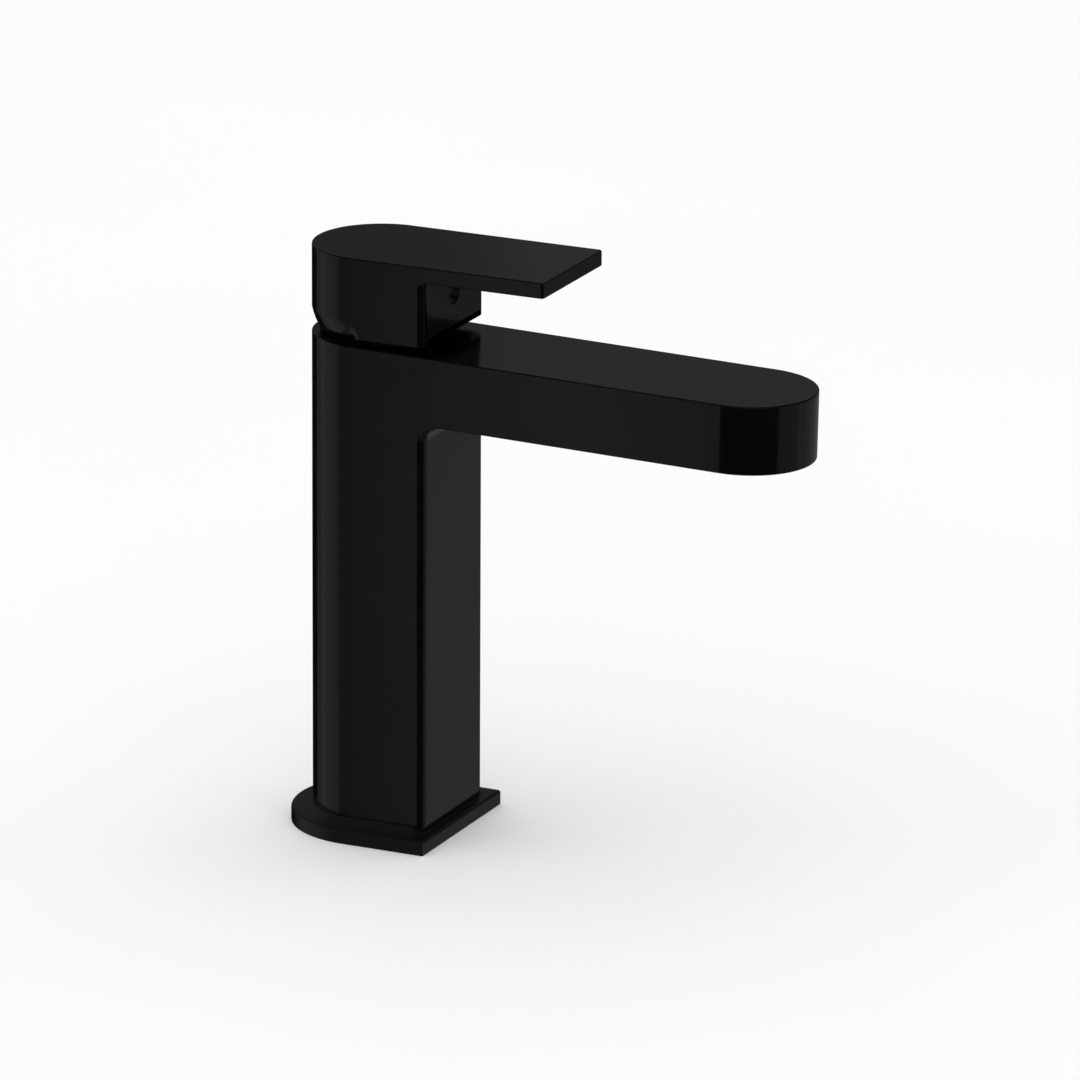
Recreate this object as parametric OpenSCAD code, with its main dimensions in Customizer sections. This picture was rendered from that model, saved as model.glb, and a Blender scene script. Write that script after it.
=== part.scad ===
// Single-lever basin mixer with a flat spout and a flat lever.
// The origin is on the column's axis at the deck, +Z up, and the spout points along +X.
// The column's plan is a half circle at the back and a straight-sided block in front of it.

/* [Body] */
// Width of the column, the spout and the handle
body_w = 40; // [36:0.5:50]
// Column axis to the flat front face
front_x = 23; // [20:0.5:30]
// Height of the column's rim on its axis
rim_z = 147.5; // [135:0.5:240]
// Fall of the spout's top towards its tip, in degrees
spout_fall = 1.16; // [0:0.02:2]
// Thickness of the spout
spout_t = 20.2; // [18:0.1:26]
// Column axis to the centre of the water outlet
reach = 115; // [90:1:160]
// Radius of the column's two upright front edges
edge_r = 2.3; // [0.5:0.1:4]
// Radius where the column's front face meets the spout
root_r = 5.5; // [2:0.5:12]
// Wall of the casting around its hollows
wall_t = 3.2; // [2.6:0.1:3.6]

/* [Base] */
// How far the flange stands out behind and beside the column
flange_rim = 6.3; // [4:0.1:12]
// How far the flange stands out in front of the column
flange_front_rim = 2.8; // [2:0.1:12]
// Height of the flange's upright side
flange_side_h = 4.4; // [3:0.1:6]
// Height of the flange's sloped top above its side
flange_slope_h = 1.6; // [0.8:0.1:3]
// Thickness of the flange's floor under the column
flange_floor_t = 2; // [1.6:0.1:2.6]

/* [Handle] */
// Gap between the column's rim and the handle on its axis
handle_gap = 2.2; // [1.5:0.1:4]
// Height of the handle from its underside to the top of the lever
handle_h = 24; // [21:0.2:30]
// Thickness of the lever
lever_t = 4.7; // [3.5:0.1:7]
// Column axis to the lever's front end
lever_x = 60.4; // [50:0.5:90]
// Wall of the handle
handle_wall_t = 2.2; // [1.6:0.1:2.6]
// Most that the lever lifts, in degrees
lift_max = 20; // [14:1:21]
// Radius of the hole for the screw plug
plug_hole_r = 3.2; // [2.8:0.1:3.6]

/* [Cartridge] */
// Radius of the cartridge
cartridge_r = 12.5; // [12:0.1:12.8]
// Radius of the turret that carries the spindle
turret_r = 8.2; // [8:0.1:8.4]
// Width of the spindle's square stem
stem_w = 7; // [5.5:0.1:7.4]
// Radius of the spindle's pin
pin_r = 1.5; // [1.2:0.05:1.8]
// Lift axis to the ball that drives the disc
drive_arm = 10.8; // [9.5:0.1:12]
// Tilt of the drive arm when the lever is down, in degrees
arm_lean = 10; // [8:0.5:11]

/* [Outlet and inlets] */
// Thread radius of the aerator
aerator_r = 10.75; // [8.5:0.05:12]
// Height of the aerator
aerator_h = 9; // [7:0.5:11]
// Thread radius of the two supply inlets
inlet_r = 5; // [4:0.1:5.5]
// Distance between the two supply inlets
inlet_pitch = 16.4; // [15:0.2:19]
// Length of the inlets' thread
inlet_l = 12; // [10:1:16]

/* [Fixing under the deck] */
// Thickness of the deck that the faucet is clamped to
deck_t = 12; // [5:1:30]
// Radius of the fixing stud
stud_r = 4; // [3:0.5:5]
// Column axis to the stud
stud_x = 10.5; // [8:0.5:13]
// Length of the stud below the deck's top
stud_drop = 45; // [40:1:70]
// Outer radius of the clamp plate
clamp_r = 23; // [20:0.5:28]
// Thickness of the clamp plate
clamp_t = 2.5; // [2:0.1:4]
// Width across the flats of the fixing nut
nut_flats = 13; // [10:1:17]

/* [Hidden] */
$fn = 96;

black = [0.11, 0.11, 0.115];
brass = [0.78, 0.63, 0.36];
plastic = [0.86, 0.86, 0.82];
rubber = [0.13, 0.13, 0.14];
ceramic = [0.93, 0.92, 0.9];
steel = [0.72, 0.73, 0.75];

// Clearances
loose = 0.3;           // pieces that move past each other
fit = 0.1;             // pieces that drop into each other
run = 0.04;            // a shaft in its bore
cut = 0.5;             // how far a cutter runs past what it cuts
far = 300;             // longer than anything here

half_w = body_w / 2;
handle_z = rim_z + handle_gap;

// The handle's back ends in a skirt, part of a ball about the lift axis. The axis is high enough
// that the ball still fills the column's mouth when the lever is up.
skirt_r = half_w + 0.4;
lift_spare = 3.3;
lift_axis_h = skirt_r * sin(lift_max + lift_spare + acos(half_w / skirt_r));
lift_z = rim_z + lift_axis_h;
skirt_drop = lift_axis_h + 0.1;
skirt_z = lift_z - skirt_drop;
skirt_mouth_r = sqrt(skirt_r * skirt_r - lift_axis_h * lift_axis_h);
skirt_low = skirt_mouth_r * sin(lift_max) + skirt_drop * cos(lift_max);

// The lever's top, high enough that the grub screw clears the turret in a wide body too
turret_crown = 2.9;    // the turret's top above the lift axis
screw_r = 2.5;
turret_top_z = lift_z + turret_crown;
lever_top_z = max(handle_z + handle_h, turret_top_z + screw_r + plug_hole_r + lever_t + 1);
lever_z = lever_top_z - lever_t;

// Recess in the column's top, and the stack of the cartridge below it
cover_t = 1;
recess_r = skirt_mouth_r + 0.5;
recess_depth = skirt_low - lift_axis_h + cover_t + 0.7;
recess_z = rim_z - recess_depth;
nut_r = cartridge_r + 1.5;
nut_h = 8;
nut_top_z = recess_z - 0.1;
nut_z = nut_top_z - nut_h;
shoulder_z = nut_z;
cap_t = 3.2;           // roof of the housing
housing_bore_r = cartridge_r - 1.7;
turret_foot_t = 3;
carrier_t = 3.4;
disc_t = 3.5;
o_ring_r = 0.5;
base_t = 5;
spigot_h = 2.5;
roof_z = shoulder_z - cap_t;
o_ring_z = roof_z + cap_t / 2;
turret_foot_z = roof_z - turret_foot_t - 0.05;
carrier_z = turret_foot_z - carrier_t - 0.05;
moving_disc_z = carrier_z - disc_t;
fixed_disc_z = moving_disc_z - disc_t;
spigot_z = fixed_disc_z - spigot_h;
seat_z = spigot_z - base_t;

// Ports through the cartridge's base and the fixed disc
port_r = 2.5;
outlet_r = 2.8;
seal_wall = 1.2;
seal_depth = 1.2;
port_edge = 1.4;       // solid left outside the seals
port_ring_r = cartridge_r - port_r - seal_wall - port_edge;
port_turn = 123;       // from the outlet to each inlet, in degrees
port_x = port_ring_r * cos(port_turn);
port_y = port_ring_r * sin(port_turn);
outlet_edge = 2.5;
outlet_x = cartridge_r - outlet_r - seal_wall - outlet_edge;

// Waterways in the casting
duct_r = 3.1;
cross_duct_r = 2.6;
riser_x = (front_x + nut_r) / 2 - 0.3;
cross_z = seat_z - 7;
spout_mid = spout_t / 2;
spout_hollow_t = spout_t - 2 * wall_t;
chamber_h = 40;
chamber_top_z = flange_floor_t + chamber_h;
inlet_x = -4;
inlet_y = inlet_pitch / 2;
stud_depth = 16;

// Drive end of the spindle
ball_r = 2.5;
ball_x = -drive_arm * sin(arm_lean);
ball_z = lift_z - drive_arm * cos(arm_lean);
turret_wall = 1.6;
turret_bore_r = turret_r - turret_wall;
drive_arm_r = 1.8;
carrier_stem_r = turret_bore_r + ball_x - 0.5;
carrier_wall = 0.9;
carrier_flat = ball_r + carrier_wall;
moving_disc_r = housing_bore_r + ball_x - 0.9;
pocket_wall = 2.6;     // of the moving disc, round the pocket underneath it
pocket_x = 0.5;
carrier_top_z = ball_z + 2.2;
turret_bore_top_z = carrier_top_z + 1;
hub_r = stem_w / 2 + 0.1;
notch_w = 3;           // of the cartridge nut's key
notch_h = 2.5;

// Inside of the handle
boss_z = lift_z + 3.3;
boss_r = 9.2;
screw_boss_w = 9;
core_top_z = lever_z + 1.5;
stem_top_z = lever_z - 0.6;
screw_z = lever_z - plug_hole_r - 0.2;
screw_l = 9;
screw_socket_r = 1.45;
screw_socket_h = 3;
screw_seat_x = stem_w / 2 + 0.1;
plug_depth = 8;
plug_drop = 4.3; // how far the hole reaches down from the screw, so that a key goes in at a slant
plug_sink = 1;
plug_dish_r = 9;

// Outlet insert
aerator_lip = 1.4;
aerator_wall = 1.9;
aerator_in_r = aerator_r - aerator_wall;
aerator_core_h = 5;
jet_r = 0.9;           // holes of the core
jet_pitch = 2.35;
screen_t = 0.8;
mesh_r = 0.55;         // holes of the screen
mesh_pitch = 1.8;
washer_t = 1.6;
washer_w = 2;
key_slot_w = 1.6;
key_slot_h = 1;

// Under the deck
clamp_seal_t = 3;
fixing_nut_h = 6.5;
driver_slot_w = 1.2;   // across the stud's lower end
driver_slot_h = 2;

// Base flange and its gasket
flange_r = half_w + flange_rim;
flange_front_x = front_x + flange_front_rim;
gasket_t = 1.4;
gasket_in = 2;
gasket_w = 3;
bevel = 1;

// Plan of the column: a half circle behind the axis and a block in front of it
module d_plan(inset = 0) {
    r = half_w - inset;
    circle(r = r);
    difference() {
        translate([0, -r]) square([front_x - inset, 2 * r]);
        for (side = [-1, 1])
            translate([front_x - inset, side * r]) corner_cut(max(edge_r - inset, 0.3), side);
    }
}

// What a round corner of radius r takes off a square one, at the corner [0, 0]
module corner_cut(r, side) {
    difference() {
        translate([-r, side > 0 ? -r : 0]) square([r + cut, r]);
        translate([-r, -side * r]) circle(r = r);
    }
    translate([-r, side > 0 ? 0 : -cut]) square([r + cut, cut]);
}

module d_prism(z_from, z_to, inset = 0) {
    translate([0, 0, z_from]) linear_extrude(z_to - z_from) d_plan(inset);
}

// Plan of the spout: a long bar with a half circle at the tip
module spout_plan(inset = 0, from = 0) {
    r = half_w - inset;
    translate([from, -r]) square([reach - from, 2 * r]);
    translate([reach, 0]) circle(r = r);
}

// Everything in the spout's own frame, with its top at z = 0
module in_spout() {
    translate([0, 0, rim_z]) rotate([0, spout_fall, 0]) children();
}

module tube(r_out, r_in, h) {
    difference() {
        cylinder(r = r_out, h = h);
        translate([0, 0, -cut]) cylinder(r = r_in, h = h + 2 * cut);
    }
}

module at_ports() {
    for (side = [-1, 1]) translate([port_x, side * port_y, 0]) children();
}

// Rounded corner between the column's front face and the spout's underside
module spout_root() {
    w = body_w - 2 * edge_r - 0.4;
    in_spout() translate([0, -w / 2, -spout_t]) rotate([-90, 0, 0]) linear_extrude(w)
        difference() {
            translate([front_x - 2 * edge_r, -cut]) square([root_r + 2 * edge_r, root_r + cut]);
            translate([front_x + root_r, root_r]) circle(r = root_r);
        }
}

module body_shell() {
    intersection() {
        d_prism(flange_floor_t, rim_z + 2);
        in_spout() translate([-far / 2, -far / 2, -far]) cube([far, far, far]);
    }
    in_spout() translate([0, 0, -spout_t]) linear_extrude(spout_t) spout_plan();
    spout_root();
}

module cartridge_cavity() {
    translate([0, 0, recess_z]) cylinder(r = recess_r, h = recess_depth + 2);
    translate([0, 0, nut_z - 1.5]) cylinder(r = nut_r, h = nut_h + 2);
    translate([0, 0, seat_z]) cylinder(r = cartridge_r + fit, h = nut_z - seat_z);
}

module spout_hollow() {
    in_spout() difference() {
        translate([0, 0, -spout_t + wall_t]) linear_extrude(spout_hollow_t)
            spout_plan(wall_t, front_x + 2);
        translate([reach, 0, -spout_t]) cylinder(r = aerator_r + wall_t, h = aerator_h + 2);
    }
    in_spout() translate([reach, 0, -spout_t - cut]) cylinder(r = aerator_r, h = aerator_h + 2 + cut);
    in_spout() translate([reach, 0, -spout_t]) cylinder(r = aerator_r - washer_w, h = spout_t - wall_t);
    in_spout() translate([riser_x, 0, -spout_mid - 2.5]) rotate([0, 90, 0])
        cylinder(r = cross_duct_r, h = front_x + 4 - riser_x);
}

module waterways() {
    for (side = [-1, 1]) {
        translate([inlet_x, side * inlet_y, chamber_top_z - cut]) cylinder(r = inlet_r, h = inlet_l + cut);
        translate([port_x, side * port_y, chamber_top_z + inlet_l - 2])
            cylinder(r = duct_r - 0.3, h = seat_z - chamber_top_z - inlet_l + 2 + cut);
    }
    translate([outlet_x, 0, cross_z - duct_r]) cylinder(r = duct_r, h = seat_z - cross_z + duct_r + cut);
    translate([outlet_x, 0, cross_z]) rotate([0, 90, 0]) cylinder(r = cross_duct_r, h = riser_x - outlet_x);
    translate([riser_x, 0, cross_z - duct_r]) cylinder(r = duct_r, h = rim_z - spout_mid - cross_z + duct_r);
}

module body_casting() {
    color(black) difference() {
        body_shell();
        cartridge_cavity();
        spout_hollow();
        waterways();
        d_prism(flange_floor_t - cut, chamber_top_z, wall_t);
        translate([stud_x, 0, chamber_top_z - cut]) cylinder(r = stud_r, h = stud_depth + cut);
    }
}

// A layer of the flange whose sides lean in, from inset low at z_from to inset high at z_to
module flange_layer(z_from, z_to, low = 0, high = 0) {
    h = z_to - z_from;
    intersection() {
        union() {
            translate([0, 0, z_from]) cylinder(r1 = flange_r - low, r2 = flange_r - high, h = h);
            rotate([90, 0, 90]) linear_extrude(far)
                polygon([[-flange_r + low, z_from], [flange_r - low, z_from],
                         [flange_r - high, z_to], [-flange_r + high, z_to]]);
        }
        translate([0, far / 2, 0]) rotate([90, 0, 0]) linear_extrude(far)
            polygon([[-far, z_from], [flange_front_x - low, z_from],
                     [flange_front_x - high, z_to], [-far, z_to]]);
    }
}

// The flange stands on the deck at z = 0, and its top slopes up to the column
module base_flange() {
    color(black) difference() {
        union() {
            flange_layer(0, flange_side_h - bevel);
            flange_layer(flange_side_h - bevel, flange_side_h, 0, bevel * 0.8);
            flange_layer(flange_side_h, flange_side_h + flange_slope_h, bevel * 0.8, flange_rim);
        }
        d_prism(flange_floor_t, rim_z, -fit);
        d_prism(-cut, flange_floor_t + cut, wall_t);
        gasket_ring(-cut, gasket_t);
    }
}

// The gasket follows the flange's own outline, inset from it
module gasket_ring(z_from, z_to) {
    difference() {
        flange_layer(z_from, z_to, gasket_in, gasket_in);
        flange_layer(z_from - cut, z_to + cut, gasket_in + gasket_w, gasket_in + gasket_w);
    }
}

module base_gasket() {
    color(rubber) gasket_ring(0, gasket_t);
}

module port_seal(x, y, r) {
    color(rubber) translate([x, y, seat_z]) tube(r + seal_wall, r + 0.1, seal_depth);
}

module hot_port_seal() {
    port_seal(port_x, port_y, port_r);
}

module cold_port_seal() {
    port_seal(port_x, -port_y, port_r);
}

module outlet_port_seal() {
    port_seal(outlet_x, 0, outlet_r);
}

module port_holes(z_from, h) {
    translate([0, 0, z_from]) {
        at_ports() cylinder(r = port_r, h = h);
        translate([outlet_x, 0, 0]) cylinder(r = outlet_r, h = h);
    }
}

// Lower part of the cartridge: a disc with a spigot, three ports and a groove round each
module cartridge_base() {
    color(plastic) difference() {
        union() {
            translate([0, 0, seat_z]) cylinder(r = cartridge_r, h = base_t);
            translate([0, 0, spigot_z]) cylinder(r = housing_bore_r - fit, h = spigot_h);
        }
        port_holes(seat_z - cut, base_t + spigot_h + 2 * cut);
        translate([0, 0, seat_z - cut]) {
            at_ports() cylinder(r = port_r + seal_wall, h = seal_depth + cut);
            translate([outlet_x, 0, 0]) cylinder(r = outlet_r + seal_wall, h = seal_depth + cut);
        }
    }
}

module cartridge_housing() {
    color(plastic) difference() {
        translate([0, 0, spigot_z]) cylinder(r = cartridge_r, h = shoulder_z - spigot_z);
        translate([0, 0, spigot_z - cut]) cylinder(r = housing_bore_r, h = roof_z - spigot_z + cut);
        translate([0, 0, roof_z - cut]) cylinder(r = turret_r + run, h = cap_t + 2 * cut);
    }
}

module fixed_disc() {
    color(ceramic) difference() {
        translate([0, 0, fixed_disc_z]) cylinder(r = housing_bore_r - loose, h = disc_t);
        port_holes(fixed_disc_z - cut, disc_t + 2 * cut);
    }
}

// The moving disc has a pocket underneath that joins the ports
module moving_disc() {
    color(ceramic) translate([ball_x, 0, moving_disc_z]) difference() {
        cylinder(r = moving_disc_r, h = disc_t);
        translate([pocket_x, 0, -cut]) cylinder(r = moving_disc_r - pocket_wall, h = disc_t / 2 + cut);
    }
}

module disc_carrier() {
    color(plastic) translate([ball_x, 0, 0]) difference() {
        union() {
            translate([0, 0, carrier_z]) cylinder(r = moving_disc_r, h = carrier_t);
            intersection() {
                translate([0, 0, carrier_z]) cylinder(r = carrier_stem_r, h = carrier_top_z - carrier_z);
                translate([-far / 2, -carrier_flat, 0]) cube([far, 2 * carrier_flat, far]);
            }
        }
        translate([0, 0, ball_z - ball_r - 1]) cylinder(r = ball_r + 0.15, h = far);
    }
}

module swivel_turret() {
    slot_y = stem_w / 2 + 0.05;
    color(plastic) difference() {
        union() {
            translate([0, 0, turret_foot_z]) cylinder(r = housing_bore_r - run, h = turret_foot_t);
            translate([0, 0, turret_foot_z]) cylinder(r = turret_r, h = turret_top_z - turret_foot_z);
        }
        // slot that turns the carrier's stem and lets it slide along X
        translate([-turret_bore_r, -carrier_flat - run, turret_foot_z - cut])
            cube([2 * turret_bore_r, 2 * (carrier_flat + run), turret_foot_t + 2 * cut]);
        translate([0, 0, turret_foot_z + turret_foot_t])
            cylinder(r = turret_bore_r, h = turret_bore_top_z - turret_foot_z - turret_foot_t);
        // slot that the spindle tilts in
        translate([-hub_r - 1.6, -slot_y, turret_bore_top_z - cut])
            cube([2 * hub_r + 2, 2 * slot_y, far]);
        translate([0, 0, lift_z]) rotate([90, 0, 0]) cylinder(r = pin_r, h = far, center = true);
        // the top falls away behind, under the tilted handle
        translate([0, -far / 2, turret_top_z]) rotate([0, 180 - lift_max, 0])
            translate([0, 0, -far]) cube([far, far, far]);
        translate([0, 0, o_ring_z]) rotate_extrude()
            translate([turret_r - 2 * o_ring_r, -o_ring_r]) square([far, 2 * o_ring_r]);
    }
}

module turret_o_ring() {
    color(rubber) translate([0, 0, o_ring_z]) rotate_extrude()
        translate([turret_r - o_ring_r, 0]) circle(r = o_ring_r - 0.02, $fn = 32);
}

module lever_spindle() {
    color(brass) difference() {
        union() {
            translate([0, 0, lift_z]) rotate([90, 0, 0]) cylinder(r = hub_r, h = stem_w, center = true);
            translate([-stem_w / 2, -stem_w / 2, lift_z]) cube([stem_w, stem_w, stem_top_z - lift_z]);
            translate([ball_x, 0, ball_z]) sphere(r = ball_r, $fn = 48);
            translate([ball_x, 0, ball_z]) rotate([0, arm_lean, 0]) cylinder(r = drive_arm_r, h = drive_arm);
        }
        translate([0, 0, lift_z]) rotate([90, 0, 0]) cylinder(r = pin_r + run, h = far, center = true);
    }
}

module spindle_pin() {
    color(steel) translate([0, 0, lift_z]) rotate([90, 0, 0])
        cylinder(r = pin_r, h = 2 * (turret_r - 0.8), center = true);
}

// Threaded ring with four notches for its key
module cartridge_nut() {
    color(brass) difference() {
        translate([0, 0, nut_z]) tube(nut_r - 0.05, turret_r + 1.2, nut_h);
        for (i = [0 : 3]) rotate([0, 0, 45 + 90 * i])
            translate([turret_r, -notch_w / 2, nut_top_z - notch_h]) cube([nut_r, notch_w, far]);
    }
}

module nut_cover_ring() {
    color(steel) translate([0, 0, recess_z]) tube(recess_r - 0.15, turret_r + loose + 0.1, cover_t);
}

// The part of space that the handle's round back keeps: a ball about the lift axis below it
module skirt_space(r) {
    translate([0, 0, lift_z]) sphere(r = r, $fn = 128);
    translate([0, -far / 2, 0]) cube([far, far, far]);
    translate([-far / 2, -far / 2, lift_z]) cube([far, far, far]);
}

module handle_outside() {
    intersection() {
        d_prism(handle_z, lever_top_z);
        skirt_space(skirt_r);
    }
    intersection() {
        translate([0, 0, skirt_z]) cylinder(r = half_w, h = lift_z - skirt_z);
        translate([0, 0, lift_z]) sphere(r = skirt_r, $fn = 128);
        translate([-far, -far / 2, 0]) cube([far, far, far]);
    }
    translate([0, -half_w, lever_z]) cube([lever_x, body_w, lever_t]);
}

module handle_core() {
    difference() {
        intersection() {
            d_prism(skirt_z - cut, core_top_z, handle_wall_t);
            skirt_space(skirt_r - handle_wall_t);
        }
        translate([0, 0, boss_z]) cylinder(r = boss_r, h = far);
        translate([boss_r - 0.4, -screw_boss_w / 2, screw_z - screw_boss_w / 2])
            cube([far, screw_boss_w, far]);
    }
}

module handle() {
    socket_w = stem_w + fit;
    color(black) difference() {
        handle_outside();
        handle_core();
        translate([-socket_w / 2, -socket_w / 2, boss_z - cut])
            cube([socket_w, socket_w, stem_top_z - boss_z + cut + 0.3]);
        translate([0, 0, screw_z]) rotate([0, 90, 0]) {
            cylinder(r = screw_r, h = front_x);
            translate([0, 0, front_x - plug_depth]) plug_form(plug_hole_r, plug_depth + cut);
        }
    }
}

module grub_screw() {
    color(steel) translate([screw_seat_x, 0, screw_z]) rotate([0, 90, 0]) difference() {
        cylinder(r = screw_r, h = screw_l);
        translate([0, 0, screw_l - screw_socket_h])
            cylinder(r = screw_socket_r, h = screw_socket_h + cut, $fn = 6);
    }
}

// An upright slot with round ends, which runs down from the screw
module plug_form(r, h) {
    cylinder(r = r, h = h);
    translate([plug_drop, 0, 0]) cylinder(r = r, h = h);
    translate([0, -r, 0]) cube([plug_drop, 2 * r, h]);
}

// Plug over the grub screw, sunk a little into its hole, with a dish in its lower end
module screw_plug() {
    color(black) difference() {
        translate([front_x - plug_depth + 2, 0, screw_z]) rotate([0, 90, 0])
            plug_form(plug_hole_r - 0.05, plug_depth - plug_sink - 2);
        translate([front_x - plug_sink + plug_dish_r - 0.5, 0, screw_z - plug_drop])
            sphere(r = plug_dish_r, $fn = 64);
    }
}

// Pieces of the outlet insert are placed from the spout's underside up
module at_outlet() {
    in_spout() translate([reach, 0, -spout_t]) children();
}

module aerator_shell() {
    color(steel) at_outlet() difference() {
        cylinder(r = aerator_r - run, h = aerator_h);
        translate([0, 0, aerator_lip]) cylinder(r = aerator_in_r, h = aerator_h);
        translate([0, 0, -cut]) cylinder(r = aerator_in_r - 1, h = aerator_h);
        for (i = [0 : 3]) rotate([0, 0, 90 * i])
            translate([aerator_in_r + 0.4, -key_slot_w / 2, -cut]) cube([far, key_slot_w, key_slot_h + cut]);
    }
}

module aerator_core() {
    color(plastic) at_outlet() translate([0, 0, aerator_lip]) difference() {
        cylinder(r = aerator_in_r - 0.05, h = aerator_core_h);
        translate([0, 0, -cut]) cylinder(r = jet_r, h = aerator_core_h + 2 * cut);
        for (ring = [1 : 3], i = [0 : 6 * ring - 1])
            rotate([0, 0, 60 * i / ring]) translate([jet_pitch * ring, 0, -cut])
                cylinder(r = jet_r, h = aerator_core_h + 2 * cut, $fn = 24);
    }
}

// Dirt screen: a thin disc with rings of holes
module aerator_screen() {
    color(steel) at_outlet() translate([0, 0, aerator_lip + aerator_core_h]) difference() {
        cylinder(r = aerator_in_r - 0.05, h = screen_t);
        for (ring = [1 : 4], i = [0 : 6 * ring - 1])
            rotate([0, 0, 60 * i / ring]) translate([mesh_pitch * ring, 0, -cut])
                cylinder(r = mesh_r, h = screen_t + 2 * cut, $fn = 16);
    }
}

module aerator_washer() {
    color(rubber) at_outlet() translate([0, 0, aerator_h])
        tube(aerator_r - 0.15, aerator_r - washer_w, washer_t);
}

module fixing_stud() {
    color(brass) translate([stud_x, 0, -stud_drop]) difference() {
        cylinder(r = stud_r, h = stud_drop + chamber_top_z + stud_depth - 1);
        translate([-driver_slot_w / 2, -far / 2, -cut]) cube([driver_slot_w, far, driver_slot_h + cut]);
    }
}

// Horseshoe that lets the two supply hoses past
module horseshoe(z, h) {
    slot_w = 2 * (inlet_y + inlet_r + 1);
    translate([0, 0, z]) difference() {
        cylinder(r = clamp_r, h = h);
        translate([-far, -slot_w / 2, -cut]) cube([far + inlet_x + inlet_r + 1.5, slot_w, h + 2 * cut]);
        translate([stud_x, 0, -cut]) cylinder(r = stud_r + loose, h = h + 2 * cut);
    }
}

module clamp_seal() {
    color(rubber) horseshoe(-deck_t - clamp_seal_t, clamp_seal_t);
}

module clamp_plate() {
    color(steel) horseshoe(-deck_t - clamp_seal_t - clamp_t, clamp_t);
}

module fixing_nut() {
    color(brass) translate([stud_x, 0, -deck_t - clamp_seal_t - clamp_t - fixing_nut_h]) difference() {
        cylinder(r = nut_flats / sqrt(3), h = fixing_nut_h, $fn = 6);
        translate([0, 0, -cut]) cylinder(r = stud_r, h = fixing_nut_h + 2 * cut);
    }
}

body_casting();
base_flange();
base_gasket();
cartridge_base();
cartridge_housing();
hot_port_seal();
cold_port_seal();
outlet_port_seal();
fixed_disc();
moving_disc();
disc_carrier();
swivel_turret();
turret_o_ring();
lever_spindle();
spindle_pin();
cartridge_nut();
nut_cover_ring();
handle();
grub_screw();
screw_plug();
aerator_shell();
aerator_core();
aerator_screen();
aerator_washer();
fixing_stud();
clamp_seal();
clamp_plate();
fixing_nut();
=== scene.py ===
import bpy, bmesh, math
from mathutils import Matrix, Vector


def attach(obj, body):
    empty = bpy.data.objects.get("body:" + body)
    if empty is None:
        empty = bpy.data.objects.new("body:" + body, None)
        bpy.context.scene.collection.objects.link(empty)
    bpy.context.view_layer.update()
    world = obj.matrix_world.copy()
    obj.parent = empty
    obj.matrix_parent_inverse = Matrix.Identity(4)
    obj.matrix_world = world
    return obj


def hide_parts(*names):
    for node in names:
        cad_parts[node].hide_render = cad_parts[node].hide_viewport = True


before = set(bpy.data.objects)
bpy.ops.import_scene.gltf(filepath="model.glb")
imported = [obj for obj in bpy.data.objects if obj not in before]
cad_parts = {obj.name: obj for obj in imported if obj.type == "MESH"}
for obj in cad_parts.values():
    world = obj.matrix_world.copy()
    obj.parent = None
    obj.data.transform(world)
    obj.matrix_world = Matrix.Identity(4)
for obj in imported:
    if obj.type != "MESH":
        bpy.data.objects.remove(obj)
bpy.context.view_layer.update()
mm = 0.001
scene = bpy.context.scene


# A socket that can be written in sums
class Field:
    def __init__(self, finish, socket):
        self.finish, self.socket = finish, socket

    def join(self, operation, a, b):
        return self.finish.node("Math", {"operation": operation}, {0: a, 1: b})

    def __add__(self, other):
        return self.join("ADD", self, other)

    def __radd__(self, other):
        return self.join("ADD", other, self)

    def __sub__(self, other):
        return self.join("SUBTRACT", self, other)

    def __rsub__(self, other):
        return self.join("SUBTRACT", other, self)

    def __mul__(self, other):
        return self.join("MULTIPLY", self, other)

    def __rmul__(self, other):
        return self.join("MULTIPLY", other, self)


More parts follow.
